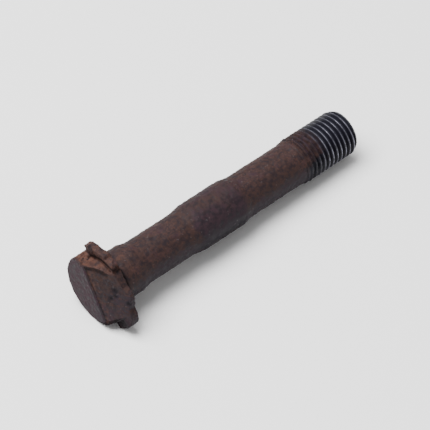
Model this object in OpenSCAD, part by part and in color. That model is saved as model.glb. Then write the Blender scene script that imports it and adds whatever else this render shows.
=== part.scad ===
// Connecting rod bolt: round head with a sloping relief and two ears, waisted
// shank with fitted lands, plain thread-size end. One solid, lying on its
// head's rim and its tip. Millimetres; the bolt runs along +X.

/* [Bolt] */
// length over all, along the bolt
bolt_len = 74; // [65:0.5:110]

/* [Head] */
// height of the head along the bolt
head_h = 5.2; // [3:0.1:8]
// diameter of the round head
boss_d = 16.8; // [13:0.1:22]
// distance of the relief's front edge from the bolt's axis
relief_q = 0.3; // [-2:0.1:2]
// slope of the relief from the end face
relief_slope = 28; // [5:1:32]
// turn of the relief's front edge from the line of the ears
relief_turn = 8; // [-15:1:15]
// distance of the flat on the relief's side from the bolt's axis
flat_q = 7; // [6.5:0.1:8.4]
// where the flat's slanted end starts, towards the lower ear
flat_end = 1; // [-3:0.1:4]
// slant of that end
flat_slant = 25; // [10:1:60]
// edge break round the head's end face
boss_break = 0.3; // [0:0.05:1]
// width of the worn spot on the head's rim, where the bolt lies
rim_flat_w = 3; // [0:0.1:5]

/* [Ears] */
// thickness of the lower ear along the bolt
ear_low_t = 2.65; // [1:0.05:4]
// thickness of the upper ear along the bolt
ear_high_t = 1.85; // [1:0.05:4]
// distance of the ears' outer sides from the bolt's axis
ear_out = 5.7; // [3:0.1:8]
// distance of the ears' inner sides from the bolt's axis, away from the relief
ear_in = 0.5; // [-2:0.1:3]
// reach of the lower ear from the bolt's axis
ear_low = 10.4; // [8.6:0.1:13]
// reach of the upper ear from the bolt's axis
ear_high = 9.7; // [8.6:0.1:13]
// corner radius of the lower ear's toe
ear_toe_r = 0.5; // [0.2:0.1:2]
// height of the lower ear's toe over the floor
toe_lift = 0.2; // [0:0.05:0.5]
// corner radius of the lower ear's outer side
ear_low_r = 3.4; // [1:0.1:5]
// width left at the end of the upper ear
ear_high_w = 1.5; // [0.4:0.1:5]
// slant of the upper ear's outer side
ear_slant = 60; // [0:1:80]

/* [Pocket] */
// radius of the pocket's round wall, round the bolt's axis
pocket_r = 6.5; // [5:0.05:8]
// distance from the axis to the pocket's straight wall beside the upper ear
pocket_in = 4.8; // [0:0.1:8]
// direction of that wall
pocket_a = 50; // [10:1:80]
// distance from the axis to the pocket's end wall in the relief
pocket_end = 3.3; // [0:0.1:6]

/* [Shank] */
// diameter of the fitted land under the head
neck_d = 11.35; // [9:0.05:14]
// length of the fitted land under the head
neck_len = 5.3; // [3:0.1:12]
// fillet between the land and the seat
seat_r = 0.6; // [0.2:0.05:1.5]
// taper from the land to the lower waist
neck_taper = 2.2; // [1:0.1:5]
// diameter of the two waists
waist_d = 10.3; // [7:0.05:13]
// length of the waist next to the head
waist_len_head = 12.8; // [5:0.1:30]
// ramp from the lower waist to the middle land
land_ramp_head = 3.2; // [1:0.1:6]
// diameter of the fitted land in the middle
land_d = 11.35; // [9:0.05:14]
// length of the fitted land in the middle
land_len = 11.2; // [5:0.1:25]
// ramp from the middle land to the upper waist
land_ramp_tip = 2.2; // [1:0.1:6]

/* [Thread end] */
// outside diameter of the thread
thread_d = 11.11; // [8:0.01:14]
// length of the full thread, tip included
thread_len = 15; // [8:0.1:30]
// ramp from the upper waist to the thread
thread_ramp = 1.5; // [0.5:0.1:4]
// length of the cone at the tip
tip_len = 1.3; // [0.5:0.1:3]
// diameter of the flat tip
tip_d = 9.9; // [6:0.1:11]
// width of the worn spot at the start of the tip cone, where the bolt lies
tip_flat_w = 2; // [0:0.1:4]

/* [Hidden] */
$fn = 96;
eps = 0.01;
lap = 1;
far = 40;
boss_r = boss_d / 2;
thread_r = thread_d / 2;
ear_low_z = head_h - ear_low_t;
ear_high_z = head_h - ear_high_t;

// stations along the bolt
x_neck = head_h + neck_len;
x_waist_a = x_neck + neck_taper;
x_waist_b = x_waist_a + waist_len_head;
x_land_a = x_waist_b + land_ramp_head;
x_land_b = x_land_a + land_len;
x_waist_c = x_land_b + land_ramp_tip;
x_tip = bolt_len;
x_thread = x_tip - thread_len;
x_waist_d = x_thread - thread_ramp;

// roll: the head's worn rim is on the floor, the lower ear's toe just over it
rim_r = sqrt(pow(boss_r, 2) - pow(rim_flat_w / 2, 2));
toe_p = ear_low - ear_toe_r;
toe_q = ear_toe_r - ear_in;
roll = acos((rim_r - toe_lift - ear_toe_r) / norm([toe_p, toe_q])) - atan2(toe_q, toe_p);
// dip: the head's back rim and the start of the tip cone touch the floor
tip_r = sqrt(pow(thread_r, 2) - pow(tip_flat_w / 2, 2));
dip = atan2(rim_r - tip_r, x_tip - tip_len - head_h);
lift = head_h * sin(dip) + rim_r * cos(dip);

// shift: the origin lies under the middle of the bolt's outside box
x_low = -min(rim_r, boss_r - boss_break) * sin(dip);
x_high = x_tip * cos(dip) + tip_d / 2 * sin(dip);
shift_x = -(x_low + x_high) / 2;
ear_reach = (ear_out - ear_low_r) * cos(roll) + (ear_low - ear_low_r) * sin(roll) + ear_low_r;
shift_y = (max(ear_reach, boss_r) - boss_r) / 2;

// The head is drawn with x = reach towards the lower ear, y = away from the
// relief and z = along the bolt, so the relief is on the side where y < 0.

// outline of the bar that ends in the two ears
module ear_outline() {
    difference() {
        union() {
            // bar with the lower ear's two corners left out
            translate([-ear_high, -ear_out])
                square([ear_high + ear_low - ear_low_r, ear_out + ear_in]);
            translate([ear_low - ear_low_r - eps, ear_low_r - ear_out])
                square([ear_low_r + eps, ear_out - ear_low_r - toe_q]);
            translate([ear_low - ear_low_r - eps, -toe_q - eps])
                square([ear_low_r - ear_toe_r + eps, ear_toe_r + eps]);
            // rounded outer corner, then the toe
            intersection() {
                translate([ear_low - ear_low_r, ear_low_r - ear_out]) circle(r = ear_low_r);
                translate([0, -ear_out]) square([far, ear_out]);
            }
            translate([toe_p, -toe_q]) circle(r = ear_toe_r);
        }
        // slanted outer side of the upper ear
        translate([-ear_high, ear_in - ear_high_w])
            rotate(-ear_slant) translate([-far, -far]) square([2 * far, far]);
    }
}

// round head, with the pocket beside the upper ear
module boss() {
    difference() {
        rotate_extrude()
            polygon([
                [0, 0], [boss_r - boss_break, 0], [boss_r, boss_break],
                [boss_r, head_h], [0, head_h]
            ]);
        // worn spot on the rim, over the floor
        rotate([0, 0, roll]) translate([rim_r, -far, -far]) cube([far, 2 * far, 2 * far]);
        // pocket with a round wall, down to the front of the upper ear
        difference() {
            rotate([0, 0, pocket_a])
                translate([-far - pocket_in, -far, -far]) cube([far, 2 * far, far + ear_high_z]);
            cylinder(r = pocket_r, h = head_h);
            translate([-pocket_end, -far, -far]) cube([far, 2 * far, 2 * far]);
        }
    }
}

// flat on the relief's side, with a slanted end that runs out to the rim
module flat_cut() {
    translate([0, 0, -lap])
        linear_extrude(height = head_h + seat_r + lap)
            polygon([
                [-far, -flat_q], [flat_end, -flat_q],
                [flat_end + far * cos(flat_slant), -flat_q - far * sin(flat_slant)],
                [-far, -flat_q - far * sin(flat_slant)]
            ]);
}

// head: round blank and ears, cut by the relief
module head() {
    difference() {
        union() {
            boss();
            translate([0, 0, ear_low_z])
                linear_extrude(height = ear_low_t)
                    intersection() {
                        ear_outline();
                        translate([0, -far]) square([far, 2 * far]);
                    }
            translate([0, 0, ear_high_z])
                linear_extrude(height = ear_high_t)
                    intersection() {
                        ear_outline();
                        translate([-far, -far]) square([far + lap, 2 * far]);
                    }
        }
        rotate([0, 0, relief_turn])
            translate([0, -relief_q, 0])
                rotate([-relief_slope, 0, 0])
                    translate([-far, -far, -far]) cube([2 * far, far, far]);
        flat_cut();
    }
}

// shank from inside the head to the tip, one turned profile
module shank() {
    difference() {
        rotate_extrude()
            polygon([
                [0, head_h - lap], [neck_d / 2, head_h - lap], [neck_d / 2, x_neck],
                [waist_d / 2, x_waist_a], [waist_d / 2, x_waist_b],
                [land_d / 2, x_land_a], [land_d / 2, x_land_b],
                [waist_d / 2, x_waist_c], [waist_d / 2, x_waist_d],
                [thread_r, x_thread], [thread_r, x_tip - tip_len],
                [tip_d / 2, x_tip], [0, x_tip]
            ]);
        // worn spot at the tip, over the floor
        rotate([0, 0, roll])
            translate([tip_r, -far, x_tip - tip_len - tip_flat_w]) cube([far, 2 * far, far]);
    }
}

// fillet ring under the head
module seat_fillet() {
    rotate_extrude()
        difference() {
            translate([neck_d / 2 - lap, head_h - lap]) square([seat_r + lap, seat_r + lap]);
            translate([neck_d / 2 + seat_r, head_h + seat_r]) circle(r = seat_r);
        }
}

// whole bolt in its lying rest
module rod_bolt() {
    color([0.30, 0.20, 0.15])
        translate([shift_x, shift_y, lift])
            rotate([0, dip, 0])
                rotate([-roll, 0, 0])
                    rotate([0, 90, 0])
                        union() {
                            head();
                            shank();
                            seat_fillet();
                        }
}

rod_bolt();
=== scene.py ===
import bpy
import bmesh
import math
from mathutils import Matrix, Vector


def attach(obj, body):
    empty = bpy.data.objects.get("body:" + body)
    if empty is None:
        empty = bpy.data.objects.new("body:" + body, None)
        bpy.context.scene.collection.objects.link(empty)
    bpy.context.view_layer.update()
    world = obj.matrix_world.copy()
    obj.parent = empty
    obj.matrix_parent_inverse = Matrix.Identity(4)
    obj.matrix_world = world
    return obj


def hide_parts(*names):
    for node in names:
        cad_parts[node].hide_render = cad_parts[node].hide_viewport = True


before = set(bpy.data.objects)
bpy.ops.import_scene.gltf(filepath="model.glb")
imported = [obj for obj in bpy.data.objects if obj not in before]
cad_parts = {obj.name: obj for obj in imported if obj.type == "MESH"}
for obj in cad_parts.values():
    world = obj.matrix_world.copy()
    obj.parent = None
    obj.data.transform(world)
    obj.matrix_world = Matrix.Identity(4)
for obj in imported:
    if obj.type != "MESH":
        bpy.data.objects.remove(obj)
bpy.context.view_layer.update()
print("frame loaded")

# The bolt is modelled in millimetres, standing on its end face: z runs along
# the bolt, x reaches towards the lower ear, and the relief is where y < 0.
boltPlace = {
    "length": 74.0,
    "roll": 40.169453,    # degrees round the bolt's axis, as it lies
    "dip": 2.375976,      # degrees off level
    "shift": (-36.902897, 0.636437, 8.473456),  # of the end face's middle
    "metre": 0.001,       # one millimetre in the frame
}
along = Matrix.Rotation(math.radians(90), 3, "Y")
rolled = Matrix.Rotation(-math.radians(boltPlace["roll"]), 3, "X")
dipped = Matrix.Rotation(math.radians(boltPlace["dip"]), 3, "Y")
boltTurn = dipped @ rolled @ along


def onlySelect(ob):
    bpy.ops.object.select_all(action="DESELECT")
    ob.select_set(True)
    bpy.context.view_layer.objects.active = ob


def pick(ob, kind, test):
    # in edit mode: selects the verts, edges or faces that pass the test
    mesh = bmesh.from_edit_mesh(ob.data)
    bpy.ops.mesh.select_mode(type={"verts": "VERT", "edges": "EDGE", "faces": "FACE"}[kind])
    bpy.ops.mesh.select_all(action="DESELECT")
    for part in getattr(mesh, kind):
        if test(part):
            part.select_set(True)
    bmesh.update_edit_mesh(ob.data)


def combine(base, tool, operation):
    onlySelect(base)
    bpy.ops.object.modifier_add(type="BOOLEAN")
    modifier = base.modifiers[-1]
    modifier.operation = operation
    modifier.solver = "EXACT"
    modifier.object = tool
    bpy.ops.object.modifier_apply(modifier=modifier.name)
    bpy.data.objects.remove(tool)


def cutAway(ob, point, normal):
    # cuts off what lies on the normal's side of a plane and closes the cut
    onlySelect(ob)
    bpy.ops.object.mode_set(mode="EDIT")
    bpy.ops.mesh.select_all(action="SELECT")
    bpy.ops.mesh.bisect(plane_co=point, plane_no=normal, use_fill=True, clear_outer=True)
    bpy.ops.object.mode_set(mode="OBJECT")


def turnedBar(name, stations, sides):
    # stations: (z, radius, rows up to here), like a turned profile
    z, radius, _ = stations[0]
    bpy.ops.object.select_all(action="DESELECT")
    bpy.ops.mesh.primitive_circle_add(
        vertices=sides, radius=radius, fill_type="NGON", location=(0, 0, z))
    ob = bpy.context.object
    ob.name = name
    bpy.ops.object.transform_apply(location=True)
    bpy.ops.object.mode_set(mode="EDIT")
    bpy.ops.mesh.select_mode(type="FACE")
    bpy.ops.mesh.select_all(action="SELECT")
    for nextZ, nextRadius, rows in stations[1:]:
        zStep = (nextZ - z) / rows
        radiusStep = (nextRadius - radius) / rows
        for row in range(rows):
            bpy.ops.mesh.extrude_region_move(TRANSFORM_OT_translate={"value": (0, 0, zStep)})
            ratio = (radius + radiusStep) / radius
            z += zStep
            radius += radiusStep
            if abs(ratio - 1) > 1e-6:  # a row of the same radius is left as it is
                bpy.ops.transform.resize(value=(ratio, ratio, 1), center_override=(0, 0, z))
    bpy.ops.mesh.select_all(action="SELECT")
    bpy.ops.mesh.normals_make_consistent(inside=False)
    bpy.ops.object.mode_set(mode="OBJECT")
    return ob


# Head: a round blank with a pocket beside the upper ear, two ears, a sloping
# relief, and a flat where the relief meets the shank.
head = {
    "height": 5.2,
    "radius": 8.4,
    "sides": 128,
    "frontBreak": 0.3,
    "frontBreakSteps": 2,
    "wornSpot": 3.0,
    "reliefStart": 0.3,
    "reliefSlope": 28.0,
    "reliefTurn": 8.0,
    "flat": 7.0,
    "flatEnd": 1.0,
    "flatSlant": 25.0,
    "earLowThickness": 2.65,
    "earHighThickness": 1.85,
    "earOut": 5.7,
    "earIn": 0.5,
    "earLow": 10.4,
    "earHigh": 9.7,
    "earToeRadius": 0.5,
    "earLowRadius": 3.4,
    "cornerSteps": 8,
    "earHighWidth": 1.5,
    "earSlant": 60.0,
    "pocketRadius": 6.5,
    "pocketSides": 96,
    "pocketIn": 4.8,
    "pocketTurn": 50.0,
    "pocketEnd": 3.3,
    "voxel": 0.15,        # of the even mesh that the rust is laid on
    "easing": 1,
}
far = 30.0                # a cutter reaches at least this far


def block(low, high):
    bpy.ops.object.select_all(action="DESELECT")
    middle = [(a + b) / 2 for a, b in zip(low, high)]
    bpy.ops.mesh.primitive_cube_add(size=1, location=middle)
    ob = bpy.context.object
    ob.scale = [b - a for a, b in zip(low, high)]
    bpy.ops.object.transform_apply(location=True, scale=True)
    return ob


def turnBlock(ob, degrees):
    ob.rotation_euler.z = math.radians(degrees)
    onlySelect(ob)
    bpy.ops.object.transform_apply(rotation=True)


def makeHead():
    height, radius = head["height"], head["radius"]
    bpy.ops.object.select_all(action="DESELECT")
    bpy.ops.mesh.primitive_cylinder_add(
        vertices=head["sides"], radius=radius, depth=height, location=(0, 0, height / 2))
    blank = bpy.context.object
    bpy.ops.object.transform_apply(location=True)
    bpy.ops.object.mode_set(mode="EDIT")
    pick(blank, "faces", lambda f: f.normal.z < -0.9)
    bpy.ops.mesh.bevel(offset=head["frontBreak"], segments=head["frontBreakSteps"], affect="EDGES")
    bpy.ops.object.mode_set(mode="OBJECT")

    # worn spot that the bolt lies on
    roll = math.radians(boltPlace["roll"])
    down = Vector((math.cos(roll), math.sin(roll), 0))
    cutAway(blank, down * math.sqrt(radius ** 2 - (head["wornSpot"] / 2) ** 2), down)

    # pocket: a turned block, ended in the relief, less the round wall that stays
    pocketFloor = height - head["earHighThickness"]
    pocket = block((-far, -far, -far), (-head["pocketIn"], far, pocketFloor))
    turnBlock(pocket, head["pocketTurn"])
    cutAway(pocket, (-head["pocketEnd"], 0, 0), (1, 0, 0))
    bpy.ops.object.select_all(action="DESELECT")
    bpy.ops.mesh.primitive_cylinder_add(
        vertices=head["pocketSides"], radius=head["pocketRadius"], depth=3 * far)
    combine(pocket, bpy.context.object, "DIFFERENCE")
    combine(blank, pocket, "DIFFERENCE")

    # ears: the lower one with two rounded corners, the upper one cut at a slant
    low, high, out, inner = head["earLow"], head["earHigh"], head["earOut"], head["earIn"]
    lowEar = block((0, -out, height - head["earLowThickness"]), (low, inner, height))
    bpy.ops.object.mode_set(mode="EDIT")
    for cornerY, cornerRadius in ((-out, head["earLowRadius"]), (inner, head["earToeRadius"])):
        corner = Vector((low, cornerY))
        pick(lowEar, "edges", lambda e: all((v.co.xy - corner).length < 0.01 for v in e.verts))
        bpy.ops.mesh.bevel(offset=cornerRadius, segments=head["cornerSteps"], affect="EDGES")
    bpy.ops.object.mode_set(mode="OBJECT")
    highEar = block((-high, -out, pocketFloor), (0.3, inner, height))
    slant = math.radians(head["earSlant"])
    slantStart = (-high, inner - head["earHighWidth"], 0)
    cutAway(highEar, slantStart, (-math.sin(slant), -math.cos(slant), 0))
    combine(blank, lowEar, "UNION")
    combine(blank, highEar, "UNION")

    # sloping relief
    slope, turn = math.radians(head["reliefSlope"]), math.radians(head["reliefTurn"])
    turned = Matrix.Rotation(turn, 3, "Z")
    reliefLine = turned @ Vector((0, -head["reliefStart"], 0))
    cutAway(blank, reliefLine, turned @ Vector((0, -math.sin(slope), -math.cos(slope))))

    # flat beside the shank, its end slanting out to the rim
    cutter = block((-far, -far, -1), (far, -head["flat"], height + 1))
    slant = math.radians(head["flatSlant"])
    cutAway(cutter, (head["flatEnd"], -head["flat"], 0), (math.sin(slant), math.cos(slant), 0))
    combine(blank, cutter, "DIFFERENCE")

    # even mesh with its edges eased, ready for the rust
    onlySelect(blank)
    bpy.ops.object.modifier_add(type="REMESH")
    remesh = blank.modifiers[-1]
    remesh.mode = "VOXEL"
    remesh.voxel_size = head["voxel"]
    bpy.ops.object.modifier_apply(modifier=remesh.name)
    bpy.ops.object.modifier_add(type="SMOOTH")
    ease = blank.modifiers[-1]
    ease.factor = 0.5
    ease.iterations = head["easing"]
    bpy.ops.object.modifier_apply(modifier=ease.name)
    blank.name = "rodBolt"
    return blank


# Shank: two waists, three lands, and a core that runs out under the thread.
shank = {
    "sides": 128,
    "root": 4.4,            # start inside the head
    "neck": 11.35,
    "seatInset": 0.05,      # the fillet starts just inside the head
    "fillet": 0.6,
    "filletRows": 6,
    "waist": 10.3,
    "land": 11.35,
    "neckEnd": 10.5,
    "headWaist": (12.7, 25.5),
    "landEnds": (28.7, 39.9),
    "tipWaist": (42.1, 57.5),
    "runout": (58.2, 62.5),
    "runoutSwell": 0.12,
    "coreInset": 0.05,      # under the thread's root
    "coreEnd": 1.5,         # short of the tip
    "rowHeight": 0.3,
}


def makeShank():
    neck, waist, land = shank["neck"] / 2, shank["waist"] / 2, shank["land"] / 2
    fillet, seat = shank["fillet"], head["height"]
    core = thread["diameter"] / 2 - thread["depth"] - shank["coreInset"]
    stations = [(shank["root"], neck + fillet, 1), (seat - shank["seatInset"], neck + fillet, 3)]
    for row in range(1, shank["filletRows"] + 1):
        turn = math.radians(90 * row / shank["filletRows"])
        z = seat + fillet * (1 - math.cos(turn))
        stations.append((z, neck + fillet * (1 - math.sin(turn)), 1))
    corners = [
        (shank["neckEnd"], neck),
        (shank["headWaist"][0], waist), (shank["headWaist"][1], waist),
        (shank["landEnds"][0], land), (shank["landEnds"][1], land),
        (shank["tipWaist"][0], waist), (shank["tipWaist"][1], waist),
        (shank["runout"][0], waist + shank["runoutSwell"]), (shank["runout"][1], core),
        (boltPlace["length"] - shank["coreEnd"], core),
    ]
    for cornerZ, radius in corners:
        rows = max(1, round((cornerZ - z) / shank["rowHeight"]))
        stations.append((cornerZ, radius, rows))
        z = cornerZ
    return turnedBar("shank", stations, shank["sides"])


# Thread: 7/16 inch, 20 to the inch, right-hand.
thread = {
    "diameter": 11.11,
    "pitch": 1.27,
    "depth": 0.74,
    "crestWidth": 0.16,
    "rootWidth": 0.26,
    "flankSteps": 4,
    "crestEase": 0.03,
    "start": 57.7,
    "stub": 0.6,            # of the blank, below the start
    "pastTip": 0.4,         # the turns are wound this far on, then trimmed
    "ramp": (57.6, 59.2),   # the first turns rise out of the shank here
    "rampInset": 0.02,
    "rampRows": 6,
    "clearOfCrest": 0.04,
    "tipCone": 1.3,
    "tipDiameter": 9.9,
    "stepsPerTurn": 96,
    "weld": 0.001,
}


def makeThread():
    pitch, crest = thread["pitch"], thread["diameter"] / 2
    root = crest - thread["depth"]
    start, end = thread["start"], boltPlace["length"]
    flank = (pitch - thread["crestWidth"] - thread["rootWidth"]) / 2
    foot, steps, ease = thread["rootWidth"] / 2, thread["flankSteps"], thread["crestEase"]
    tooth = [(root, 0), (root, foot)]
    for step in range(1, steps):
        tooth.append((root + (crest - root) * step / steps, foot + flank * step / steps))
    tooth += [(crest - ease, foot + flank * (1 - ease)), (crest, foot + flank + ease)]
    tooth.append((crest, pitch / 2))
    tooth += [(r, pitch - h) for r, h in reversed(tooth[:-1])]

    # one tooth, drawn out from a single point, then wound up the bolt
    bpy.ops.object.select_all(action="DESELECT")
    bpy.ops.mesh.primitive_plane_add(size=0.1, location=(root, 0, start - 1.5 * pitch))
    ob = bpy.context.object
    ob.name = "thread"
    bpy.ops.object.transform_apply(location=True)
    bpy.ops.object.mode_set(mode="EDIT")
    bpy.ops.mesh.select_mode(type="VERT")
    bpy.ops.mesh.select_all(action="SELECT")
    bpy.ops.mesh.merge(type="CENTER")
    for (radius, height), (nextRadius, nextHeight) in zip(tooth, tooth[1:]):
        step = (nextRadius - radius, 0, nextHeight - height)
        bpy.ops.mesh.extrude_region_move(TRANSFORM_OT_translate={"value": step})
    bpy.ops.object.mode_set(mode="OBJECT")
    bpy.ops.object.modifier_add(type="SCREW")
    screw = ob.modifiers[-1]
    screw.axis = "Z"
    screw.screw_offset = pitch
    screw.iterations = math.ceil((end - start) / pitch) + 4  # some to cut off at each end
    screw.steps = thread["stepsPerTurn"]
    screw.render_steps = thread["stepsPerTurn"]
    screw.use_merge_vertices = True
    screw.merge_threshold = thread["weld"]
    bpy.ops.object.modifier_apply(modifier=screw.name)
    bpy.ops.object.mode_set(mode="EDIT")
    bpy.ops.mesh.select_all(action="SELECT")
    bpy.ops.mesh.remove_doubles(threshold=thread["weld"])
    bpy.ops.object.mode_set(mode="OBJECT")
    cutAway(ob, (0, 0, start), (0, 0, -1))
    cutAway(ob, (0, 0, end + thread["pastTip"]), (0, 0, 1))
    bpy.ops.object.mode_set(mode="EDIT")
    bpy.ops.mesh.select_all(action="SELECT")
    bpy.ops.mesh.normals_make_consistent(inside=False)
    bpy.ops.object.mode_set(mode="OBJECT")

    # the blank trims the first turns and the tip
    over = crest + thread["clearOfCrest"]
    under = shank["waist"] / 2 - thread["rampInset"]
    rampStart, rampEnd = thread["ramp"]
    blank = turnedBar("threadBlank", [
        (start - thread["stub"], under, 1), (rampStart, under, 1),
        (rampEnd, over, thread["rampRows"]), (end - thread["tipCone"], over, 1),
        (end, thread["tipDiameter"] / 2, thread["rampRows"]),
    ], thread["stepsPerTurn"])
    combine(ob, blank, "INTERSECT")
    return ob


seams = {"weld": 0.004, "sliver": 0.002}


def closeSeams(ob):
    # a union leaves a few slivers and pinholes where two meshes met
    onlySelect(ob)
    bpy.ops.object.mode_set(mode="EDIT")
    bpy.ops.mesh.select_mode(type="VERT")
    bpy.ops.mesh.select_all(action="SELECT")
    bpy.ops.mesh.remove_doubles(threshold=seams["weld"])
    bpy.ops.mesh.select_all(action="SELECT")
    bpy.ops.mesh.dissolve_degenerate(threshold=seams["sliver"])
    bpy.ops.mesh.select_all(action="DESELECT")
    bpy.ops.mesh.select_non_manifold()
    bpy.ops.mesh.fill_holes(sides=0)
    bpy.ops.mesh.select_all(action="SELECT")
    bpy.ops.mesh.delete_loose()
    bpy.ops.mesh.select_all(action="SELECT")
    bpy.ops.mesh.normals_make_consistent(inside=False)
    bpy.ops.object.mode_set(mode="OBJECT")


def openEdges(ob):
    mesh = bmesh.new()
    mesh.from_mesh(ob.data)
    count = sum(not e.is_manifold for e in mesh.edges)
    mesh.free()
    return count


bolt = makeHead()
print("head made", len(bolt.data.polygons), "open edges", openEdges(bolt))
bar = makeShank()
print("shank made", len(bar.data.polygons), "open edges", openEdges(bar))
helix = makeThread()
print("thread made", len(helix.data.polygons), "open edges", openEdges(helix))
combine(bar, helix, "UNION")
closeSeams(bar)
print("thread joined", len(bar.data.polygons), "open edges", openEdges(bar))
combine(bolt, bar, "UNION")
closeSeams(bolt)
print("shank joined", len(bolt.data.polygons), "open edges", openEdges(bolt))


# Rust eats inwards, so every layer only lowers the surface. Millimetres.
rustLayers = {
    "swell": {"size": 5.0, "depth": 0.035, "contrast": 1.2, "brightness": 1.0},
    "scale": {"size": 0.7, "depth": 0.03, "contrast": 1.3, "brightness": 1.0},
    "pits": {"size": 0.8, "depth": 0.08, "contrast": 4.0, "brightness": 2.1},
}
patternDepth = 3
cleanThread = {"from": 62.0, "to": 64.5, "share": 0.2}  # the rust's share there
machinedFace = 0.65       # how much less the end face has rusted
headZone = 8.0            # marks are looked for up to here
# deeper marks: place on the bolt, reach and depth
dents = [
    ((0.9, -5.2, 2.6), 0.75, 0.24), ((2.4, -3.5, 1.9), 0.55, 0.2), ((2.2, -4.8, 2.5), 0.5, 0.12),
    ((-3.4, -4.8, 5.9), 0.6, 0.3), ((-1.9, -5.7, 5.5), 0.65, 0.34), ((-0.9, -5.8, 5.5), 0.4, 0.2),
    ((0.1, -5.9, 5.5), 0.6, 0.3), ((1.5, -5.8, 5.6), 0.45, 0.15), ((-9.3, -1.4, 3.6), 0.5, 0.06),
    ((-8.2, -3.9, 5.0), 0.5, 0.2), ((4.6, -6.6, 3.6), 0.6, 0.1), ((3.6, 4.4, 1.0), 0.6, 0.12),
]


def soft(low, high, value):
    # 0 at low, 1 at high, smooth between; it falls where low is above high
    t = min(1.0, max(0.0, (value - low) / (high - low)))
    return t * t * (3 - 2 * t)


def corrode(ob):
    onlySelect(ob)
    group = ob.vertex_groups.new(name="rusty")
    for vert in ob.data.vertices:
        clean = soft(cleanThread["from"], cleanThread["to"], vert.co.z)
        machined = machinedFace * soft(0.3, 0.1, vert.co.z) * soft(-0.8, -0.95, vert.normal.z)
        share = (1 - (1 - cleanThread["share"]) * clean) * (1 - machined)
        group.add([vert.index], share, "REPLACE")
    for name, layer in rustLayers.items():
        pattern = bpy.data.textures.new(name, "CLOUDS")
        pattern.noise_scale = layer["size"]
        pattern.noise_depth = patternDepth
        pattern.contrast = layer["contrast"]
        pattern.intensity = layer["brightness"]
        bpy.ops.object.modifier_add(type="DISPLACE")
        displace = ob.modifiers[-1]
        displace.texture = pattern
        displace.texture_coords = "LOCAL"
        displace.direction = "NORMAL"
        displace.mid_level = 1.0
        displace.strength = layer["depth"]
        displace.vertex_group = "rusty"
        bpy.ops.object.modifier_apply(modifier=displace.name)
    ob.vertex_groups.clear()
    for vert in ob.data.vertices:
        if vert.co.z < headZone:
            for place, reach, depth in dents:
                away = (vert.co - Vector(place)).length / reach
                if away < 2.5:
                    vert.co -= vert.normal * depth * math.exp(-away * away)


# Where the rust differs, by place on the bolt, and where light and shade are painted in.
# The rust attribute holds red = purple-grey oxide, also laid as painted shade on the
# side that hardly sees the light and as a painted grey sheen on turns that face up,
# green = loose orange rust, blue = painted shade in corners, creases, dents and on the
# shaded side, and alpha = grit. "turns" is the thread's: red = black oiled turns,
# green = height on the tooth, blue = how rubbed the crests are, painted brighter on the
# side away from the lamp as a painted highlight, and alpha = bluish steel of worn
# spots, also painted blue shade on the shaded side and on the lower ear's front.
wearAndPaintedLight = {
    "reliefSeamShadow": 0.7,    # painted shadow line where the relief leaves the end face
    "reliefFresh": 0.5,
    "reliefOxide": 0.7,
    "pocketSeamShadow": 0.6,
    "pocketCreviceShade": 0.85,
    "highEarFresh": 0.6,
    "lowEarShadeBlue": 0.8,
    "lowEarOxide": 0.8,
    "lowEarShade": 0.75,
    "notchShade": 0.8,
    "underHeadShadow": 0.95,
    "neckFresh": 0.45,
    "markShade": 0.7,
    "markBlue": 0.85,
    "lowSideShadeBlue": 0.5,
    "lowSideShade": 0.3,
    "landOxide": 0.45,
    "blackFrom": 64.2,        # where the oiled turns begin
    "blackReach": 4.8,        # how much nearer the head on the low side
    # places that the rust keeps to
    "reliefEdge": 0.4,
    "pocketX": -2.6,
    "pocketTop": 2.9,
    "highEarX": -2.5,
    "highEarZ": 2.6,
    "lowEarX": 6.5,
    "lowEarFaceX": 7.5,
    "notchY": -1.5,
    "rimRadius": 7.6,
    "threadZ": 60.0,
    "tipZ": 72.9,
}


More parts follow.
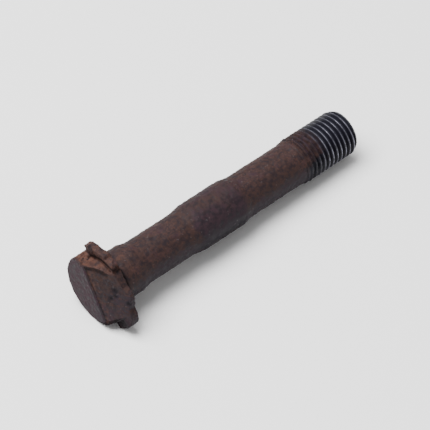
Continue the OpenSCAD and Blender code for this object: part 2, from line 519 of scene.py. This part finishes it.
def headWearAndShade(vert, radius, radial, facing):
    # oxide, orange, painted shade, painted blue shade and grit of the head, as far as the seat
    x, y, z = vert.co
    normal = vert.normal
    oxideAndPaintedLight = orange = paintedShade = blue = 0.0
    grit = 1.0
    turn = math.radians(head["reliefTurn"])
    inRelief = x * math.sin(turn) - y * math.cos(turn) - head["reliefStart"]
    if inRelief < wearAndPaintedLight["reliefEdge"]:
        oxideAndPaintedLight = soft(0.75, 0.95, -normal.z) * soft(0.6, 0.2, z)
        grit = 1 - 0.75 * oxideAndPaintedLight
    elif normal.z < -0.5:
        # painted shadow: a dark line on the relief along its step down from the end face
        paintedShade = wearAndPaintedLight["reliefSeamShadow"] * soft(1.0, wearAndPaintedLight["reliefEdge"], inRelief)
        oxideAndPaintedLight = wearAndPaintedLight["reliefOxide"] * soft(2.2, wearAndPaintedLight["reliefEdge"], inRelief) * soft(3.5, 6.0, x)
        # painted shadow on the relief beneath the pocket's round wall
        nearPocket = soft(0.7, 0.2, abs(radius - 6.0)) * soft(-2.4, -3.4, x)
        paintedShade = max(paintedShade, wearAndPaintedLight["pocketSeamShadow"] * nearPocket)
        orange = wearAndPaintedLight["reliefFresh"]
    if z > wearAndPaintedLight["pocketTop"]:
        orange = soft(wearAndPaintedLight["pocketX"], -3.4, x)
        orange *= soft(6.3, 6.6, radius) * soft(7.5, 6.9, radius)
    if radial > 0.3 and x < wearAndPaintedLight["pocketX"] and z < 3.2:
        orange = max(orange, soft(0.3, 0.7, radial) * soft(0.3, 0.6, z))
    orange *= 0.55 + 0.45 * soft(-4.0, 0.5, y)
    if x < wearAndPaintedLight["highEarX"] and z > wearAndPaintedLight["highEarZ"]:
        # painted shade in the crevice at the foot of the pocket's wall, by the upper ear
        paintedShade = max(paintedShade, wearAndPaintedLight["pocketCreviceShade"] * soft(0.45, 0.1, abs(radius - 7.1 + 0.1 * y)))
        orange = max(orange, wearAndPaintedLight["highEarFresh"])
    if x > wearAndPaintedLight["lowEarX"]:
        # painted shade: the lower ear's front, where it faces away from the light, is tinted blue
        blue = wearAndPaintedLight["lowEarShadeBlue"] * soft(0.2, 0.7, -facing.x) * soft(-0.9, -0.5, normal.z)
    if x > wearAndPaintedLight["lowEarFaceX"]:
        front = soft(0.5, 0.8, -normal.z)
        oxideAndPaintedLight = max(oxideAndPaintedLight, wearAndPaintedLight["lowEarOxide"] * front)
        # painted shade on the lower ear's front, which the boss shades
        paintedShade = max(paintedShade, wearAndPaintedLight["lowEarShade"] * front * soft(-5.5, -2.5, y))
    if x > wearAndPaintedLight["lowEarX"] and y > wearAndPaintedLight["notchY"]:
        # painted shade in the notch by the lower ear
        paintedShade = max(paintedShade, wearAndPaintedLight["notchShade"] * soft(8.2, 8.8, radius) * soft(10.2, 9.0, radius))
    return oxideAndPaintedLight, orange, paintedShade, blue, grit


def markWearAndPaintedLight(ob):
    mesh = ob.data
    rustAndPaintedLight = mesh.color_attributes.new(name="rustAndPaintedLight", type="FLOAT_COLOR", domain="POINT")
    turns = mesh.color_attributes.new(name="turns", type="FLOAT_COLOR", domain="POINT")
    crest = thread["diameter"] / 2
    root = crest - thread["depth"]
    for vert in mesh.vertices:
        x, y, z = vert.co
        radius = max(math.hypot(x, y), 0.01)
        radial = (x * vert.normal.x + y * vert.normal.y) / radius
        side = boltTurn @ Vector((x / radius, y / radius, 0))  # where it is, as the bolt lies
        facing = boltTurn @ vert.normal
        if z < head["height"] - 0.05:
            oxideAndPaintedLight, orange, paintedShade, blue, grit = headWearAndShade(vert, radius, radial, facing)
        else:
            oxideAndPaintedLight, blue, grit = 0.0, 0.0, 1.0
            # painted shadow in the crease where the shank meets the head
            paintedShade = wearAndPaintedLight["underHeadShadow"] * soft(6.7, 6.0, radius) * soft(6.5, 5.7, z)
            orange = wearAndPaintedLight["neckFresh"] * soft(14.0, 7.0, z)
            if radius > wearAndPaintedLight["rimRadius"]:
                orange = 0.5 if x < 0 else 0.3
        if z < headZone:
            for place, reach, depth in dents:
                away = (vert.co - Vector(place)).length / reach
                if away < 2.5:
                    # painted shade in and round the dents
                    paintedShade = max(paintedShade, wearAndPaintedLight["markShade"] * math.exp(-away * away * 1.1))
                    blue = max(blue, wearAndPaintedLight["markBlue"] * math.exp(-away * away * 0.5))

        # painted shade: the side that hardly sees the light is made purple-grey, bluer and darker;
        # the middle land has its own purple-grey oxide, with more painted shade on its low side
        lowSide = soft(0.0, -0.6, side.y)
        land = soft(25.5, 29.0, z) * soft(42.0, 38.0, z)
        oxideAndPaintedLight = max(oxideAndPaintedLight, 0.9 * soft(-0.75, -0.98, side.y) * soft(0.6, 0.0, facing.z))
        oxideAndPaintedLight = max(oxideAndPaintedLight, 0.7 * soft(-0.1, -0.5, side.z))
        oxideAndPaintedLight = max(oxideAndPaintedLight, land * (wearAndPaintedLight["landOxide"] + 0.4 * soft(-0.2, -0.7, side.y)))
        below = soft(0.45 + 0.35 * land, -0.1, facing.z) * lowSide
        blue = max(blue, (wearAndPaintedLight["lowSideShadeBlue"] + 0.25 * land) * below)
        below = soft(0.2, -0.2, facing.z) * lowSide
        paintedShade = max(paintedShade, (wearAndPaintedLight["lowSideShade"] + 0.3 * land) * below)

        # thread
        lower = max(soft(-0.75, -0.95, side.y), soft(0.1, -0.4, side.z))
        blackFrom = wearAndPaintedLight["blackFrom"] - wearAndPaintedLight["blackReach"] * lower
        black = soft(blackFrom - 2.8, blackFrom + 3.2, z)
        black *= 1 - 0.2 * soft(wearAndPaintedLight["tipZ"], 73.4, z)
        # turns that face up are painted greyer: a painted sheen
        if z > wearAndPaintedLight["threadZ"]:
            oxideAndPaintedLight = soft(0.3, 0.9, facing.z)
        # painted highlight: bare crests are brighter on the side away from the lamp, dimmer on top
        rubbedAndGlint = 0.35 + 0.65 * soft(0.15, -0.5, side.y)
        rubbedAndGlint *= soft(60.5, 66.0, z) * soft(73.9, wearAndPaintedLight["tipZ"], z)
        tooth = min(1.0, max(0.0, (radius - root) / (crest - root)))
        rustAndPaintedLight.data[vert.index].color = (oxideAndPaintedLight, orange, paintedShade, grit)
        turns.data[vert.index].color = (black, tooth, rubbedAndGlint, blue)


corrode(bolt)
markWearAndPaintedLight(bolt)
print("rust laid on")


def settle(ob):
    # scales to metres and lays the bolt down, with the place in the mesh
    ob.scale = [boltPlace["metre"]] * 3
    ob.rotation_euler = boltTurn.to_euler()
    ob.location = Vector(boltPlace["shift"]) * boltPlace["metre"]
    onlySelect(ob)
    bpy.ops.object.transform_apply(location=True, rotation=True, scale=True)
    for vert in ob.data.vertices:
        vert.co.z = max(vert.co.z, 0.0)  # crests worn flat where they touch the floor


settle(bolt)
bpy.ops.object.shade_smooth_by_angle(angle=math.radians(40))


def hexColour(text):
    # sRGB hex to the linear colour that the shader takes
    channels = [int(text[i:i + 2], 16) / 255 for i in (1, 3, 5)]
    return [c / 12.92 if c <= 0.04045 else ((c + 0.055) / 1.055) ** 2.4 for c in channels] + [1.0]


def addNode(tree, kind, settings, inputs=None):
    # an input may be another node's output, a hex colour or a plain value
    node = tree.nodes.new("ShaderNode" + kind)
    for name, value in settings.items():
        setattr(node, name, value)
    for name, value in (inputs or {}).items():
        if isinstance(value, bpy.types.NodeSocket):
            tree.links.new(value, node.inputs[name])
        elif isinstance(value, str):
            node.inputs[name].default_value = hexColour(value)
        else:
            node.inputs[name].default_value = value
    return node.outputs


# Forged steel, left to rust and wiped with oil: a dark matt brown crust that is
# mottled, purple-grey where the forging scale holds, orange where rust is fresh.
rustLook = {
    "brown": "#30201d",
    "deepBrown": "#1e1418",
    "warmBrown": "#3e2822",
    "scaleGrey": "#2b1c22",
    "scaleDark": "#1c1319",
    "face": "#260f19",
    "faceDark": "#170a11",
    "faceGrit": "#422f39",
    "orange": "#4b3027",
    # painted shade in corners, creases, dents and on the shaded side
    "paintedShade": "#080606",
    # bluish steel of worn spots, also painted blue shade
    "blueSteelAndShade": "#15161f",
    # pale specks, painted as glints
    "speck": "#5d5556",
    "threadBlack": "#100f17",
    # painted sheen on turns that face up
    "threadTopSheen": "#22222a",
    "crestSteel": "#757480",
    "broad": 4.5,           # mm, clouds of tone
    "mottle": 1.1,          # mm, patches of crust
    "grain": 0.45,          # mm, grit of the crust, coarser than real so that it shows
    "fleck": 1.6,           # mm, between orange flecks
    "specks": 0.6,          # mm, between pale specks painted as glints
    "crustRough": (0.62, 0.8),
    "oiledRough": 0.34,
    "sheen": 0.2,
    "shadeSheen": 0.03,
    "crestMetal": 0.8,
    "bump": 0.00006,        # m
    "bumpStrength": 0.5,
}


def makeRust():
    material = bpy.data.materials.new("rustedForgedSteel")
    material.use_nodes = True
    tree = material.node_tree
    shader = tree.nodes["Principled BSDF"]
    look = rustLook
    smooth = {"interpolation_type": "SMOOTHSTEP"}  # inputs: value, from, to, out from, out to
    inColour = {"data_type": "RGBA"}               # inputs 0 share, 6 and 7 colours; output 2
    inNumber = {"data_type": "FLOAT"}              # inputs 0 share, 2 and 3 numbers; output 0
    add = {"operation": "ADD"}
    times = {"operation": "MULTIPLY"}
    timesAdd = {"operation": "MULTIPLY_ADD"}

    # patterns, in millimetres on the bolt
    place = addNode(tree, "TexCoord", {})["Object"]
    inMm = addNode(tree, "Mapping", {}, {"Vector": place, "Scale": (1000, 1000, 1000)})[0]
    clouds = {}
    for name, detail, rough in (("broad", 2, 0.5), ("mottle", 5, 0.65), ("grain", 3, 0.6),
                                ("fleck", 6, 0.75), ("specks", 1, 0.5)):
        clouds[name] = addNode(tree, "TexNoise", {}, {
            "Vector": inMm, "Scale": 1 / look[name], "Detail": detail, "Roughness": rough})[0]
    mottle, grain = clouds["mottle"], clouds["grain"]

    # the marks laid on the mesh
    rustAndLightMark = addNode(tree, "Attribute", {"attribute_name": "rustAndPaintedLight"})
    turnMark = addNode(tree, "Attribute", {"attribute_name": "turns"})
    oxideAndPaintedLight, fresh, paintedShade = addNode(tree, "SeparateColor", {}, {0: rustAndLightMark["Color"]})
    black, height, rubbedAndGlint = addNode(tree, "SeparateColor", {}, {0: turnMark["Color"]})
    grit, blue = rustAndLightMark["Alpha"], turnMark["Alpha"]

    # brown crust
    patches = addNode(tree, "MapRange", smooth, {0: mottle, 1: 0.38, 2: 0.6})[0]
    crust = addNode(tree, "Mix", inColour, {
        0: patches, 6: look["deepBrown"], 7: look["brown"]})[2]
    warmth = addNode(tree, "Math", timesAdd, {0: clouds["broad"], 1: 0.5, 2: -0.25})[0]
    warmth = addNode(tree, "Math", timesAdd, {0: grain, 1: 0.5, 2: warmth})[0]
    warmth = addNode(tree, "MapRange", smooth, {0: warmth, 1: 0.24, 2: 0.42})[0]
    crust = addNode(tree, "Mix", inColour, {0: warmth, 6: crust, 7: look["warmBrown"]})[2]

    # purple-grey scale, in patches, also laid as painted shade on the side that hardly sees the
    # light
    scale = addNode(tree, "Mix", inColour, {
        0: patches, 6: look["scaleDark"], 7: look["scaleGrey"]})[2]
    uneven = addNode(tree, "Math", timesAdd, {0: clouds["broad"], 1: 2.6, 2: -1.8})[0]
    uneven = addNode(tree, "Math", add, {0: uneven, 1: mottle})[0]
    uneven = addNode(tree, "Math", add, {0: uneven, 1: oxideAndPaintedLight})[0]
    share = addNode(tree, "MapRange", smooth, {0: uneven, 1: 0.1, 2: 0.75})[0]
    colour = addNode(tree, "Mix", inColour, {0: share, 6: crust, 7: scale})[2]

    # the machined end face keeps its purple bloom, with a fine light grit
    face = addNode(tree, "Mix", inColour, {
        0: patches, 6: look["faceDark"], 7: look["face"]})[2]
    share = addNode(tree, "MapRange", smooth, {0: grain, 1: 0.56, 2: 0.7, 4: 0.5})[0]
    face = addNode(tree, "Mix", inColour, {0: share, 6: face, 7: look["faceGrit"]})[2]
    share = addNode(tree, "MapRange", smooth, {0: grit, 1: 0.3, 2: 0.9, 3: 1.0, 4: 0.0})[0]
    colour = addNode(tree, "Mix", inColour, {0: share, 6: colour, 7: face})[2]

    # fresh orange rust, in flecks
    share = addNode(tree, "Math", timesAdd, {0: clouds["fleck"], 1: 2.2, 2: fresh})[0]
    share = addNode(tree, "MapRange", smooth, {0: share, 1: 1.46, 2: 2.2})[0]
    colour = addNode(tree, "Mix", inColour, {0: share, 6: colour, 7: look["orange"]})[2]

    # bluish worn spots with painted blue shade, painted shade in the corners, creases and dents,
    # pale specks painted as glints
    share = addNode(tree, "MapRange", smooth, {0: mottle, 1: 0.4, 2: 0.6, 3: 0.5, 4: 1.0})[0]
    share = addNode(tree, "Math", times, {0: share, 1: blue})[0]
    colour = addNode(tree, "Mix", inColour, {0: share, 6: colour, 7: look["blueSteelAndShade"]})[2]
    share = addNode(tree, "MapRange", smooth, {0: mottle, 1: 0.35, 2: 0.65, 3: 1.0, 4: 0.65})[0]
    share = addNode(tree, "Math", times, {0: share, 1: paintedShade})[0]
    colour = addNode(tree, "Mix", inColour, {0: share, 6: colour, 7: look["paintedShade"]})[2]
    # pale specks: painted glints
    share = addNode(tree, "MapRange", smooth, {0: clouds["specks"], 1: 0.7, 2: 0.78, 4: 0.3})[0]
    colour = addNode(tree, "Mix", inColour, {0: share, 6: colour, 7: look["speck"]})[2]

    # oiled black turns, painted greyer where they face up as a painted sheen, their crests rubbed
    # to bare steel and painted brighter on the side away from the lamp
    crest = addNode(tree, "MapRange", smooth, {0: height, 1: 0.84, 2: 1.0})[0]
    share = addNode(tree, "MapRange", smooth, {
        0: clouds["fleck"], 1: 0.38, 2: 0.6, 3: 0.15, 4: 1.0})[0]
    crest = addNode(tree, "Math", times, {0: crest, 1: share})[0]
    crest = addNode(tree, "Math", times, {0: crest, 1: rubbedAndGlint})[0]
    oiled = addNode(tree, "Mix", inColour, {
        0: oxideAndPaintedLight, 6: look["threadBlack"], 7: look["threadTopSheen"]})[2]
    oiled = addNode(tree, "Mix", inColour, {0: crest, 6: oiled, 7: look["crestSteel"]})[2]
    share = addNode(tree, "Math", timesAdd, {0: mottle, 1: 1.2, 2: black})[0]
    share = addNode(tree, "MapRange", smooth, {0: share, 1: 0.75, 2: 1.35})[0]
    colour = addNode(tree, "Mix", inColour, {0: share, 6: colour, 7: oiled})[2]
    tree.links.new(colour, shader.inputs["Base Color"])

    # matt crust, satin thread, and less sheen where shade is painted
    roughLow, roughHigh = look["crustRough"]
    crustRough = addNode(tree, "MapRange", smooth, {
        0: mottle, 1: 0.3, 2: 0.7, 3: roughLow, 4: roughHigh})[0]
    rough = addNode(tree, "Mix", inNumber, {0: black, 2: crustRough, 3: look["oiledRough"]})[0]
    tree.links.new(rough, shader.inputs["Roughness"])
    sheen = addNode(tree, "Mix", inNumber, {0: paintedShade, 2: look["sheen"], 3: look["shadeSheen"]})[0]
    tree.links.new(sheen, shader.inputs["Specular IOR Level"])
    bare = addNode(tree, "Math", times, {0: crest, 1: black})[0]
    bare = addNode(tree, "Math", times, {0: bare, 1: look["crestMetal"]})[0]
    tree.links.new(bare, shader.inputs["Metallic"])

    # fine grit
    relief = addNode(tree, "Math", add, {0: grain, 1: mottle})[0]
    relief = addNode(tree, "Math", times, {0: relief, 1: grit})[0]
    bump = addNode(tree, "Bump", {}, {
        "Height": relief, "Strength": look["bumpStrength"], "Distance": look["bump"]})[0]
    tree.links.new(bump, shader.inputs["Normal"])
    return material


bolt.data.materials.clear()
bolt.data.materials.append(makeRust())
print("rust painted")

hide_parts("rod_bolt")
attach(bolt, "root")

# Pale floor, even light and one soft lamp
studio = {
    "floorSize": 3.0,
    "floorColour": (0.97, 0.97, 0.97, 1),
    "worldStrength": 0.5,
    "lampPlace": (-0.2, 0.25, 0.8),
    "lampSize": 0.6,
    "lampEnergy": 20,
}
bpy.ops.object.select_all(action="DESELECT")
bpy.ops.mesh.primitive_plane_add(size=studio["floorSize"])
floor = bpy.context.object
floor.name = "floor"
paper = bpy.data.materials.new("whitePaper")
paper.use_nodes = True
paperShader = paper.node_tree.nodes["Principled BSDF"]
paperShader.inputs["Base Color"].default_value = studio["floorColour"]
floor.data.materials.append(paper)

world = bpy.data.worlds.new("studio")
world.use_nodes = True
sky = world.node_tree.nodes["Background"]
sky.inputs["Color"].default_value = (1, 1, 1, 1)
sky.inputs["Strength"].default_value = studio["worldStrength"]
bpy.context.scene.world = world
bpy.ops.object.light_add(type="AREA", location=studio["lampPlace"])
lamp = bpy.context.object
lamp.data.size = studio["lampSize"]
lamp.data.energy = studio["lampEnergy"]
lamp.rotation_euler = (-lamp.location).to_track_quat("-Z", "Y").to_euler()
print("studio lit")

# Camera
view = {
    "azimuth": -131.5484,
    "elevation": 50.3583,
    "distance": 0.5592,
    "lens": 211.954,
    "sensor": 36,
    "middle": (0, 0, 0.0071),
    "offset": (-0.001592, -0.001015),  # right and up in the picture
}
azimuth, elevation = math.radians(view["azimuth"]), math.radians(view["elevation"])
level = math.cos(elevation)
back = Vector((level * math.cos(azimuth), level * math.sin(azimuth), math.sin(elevation)))
right = Vector((-math.sin(azimuth), math.cos(azimuth), 0))
up = back.cross(right)
target = Vector(view["middle"]) + right * view["offset"][0] + up * view["offset"][1]
bpy.ops.object.camera_add(location=target + back * view["distance"])
camera = bpy.context.object
camera.rotation_euler = back.to_track_quat("Z", "Y").to_euler()
camera.data.sensor_width = view["sensor"]
camera.data.lens = view["lens"]
bpy.context.scene.camera = camera
print("camera set")
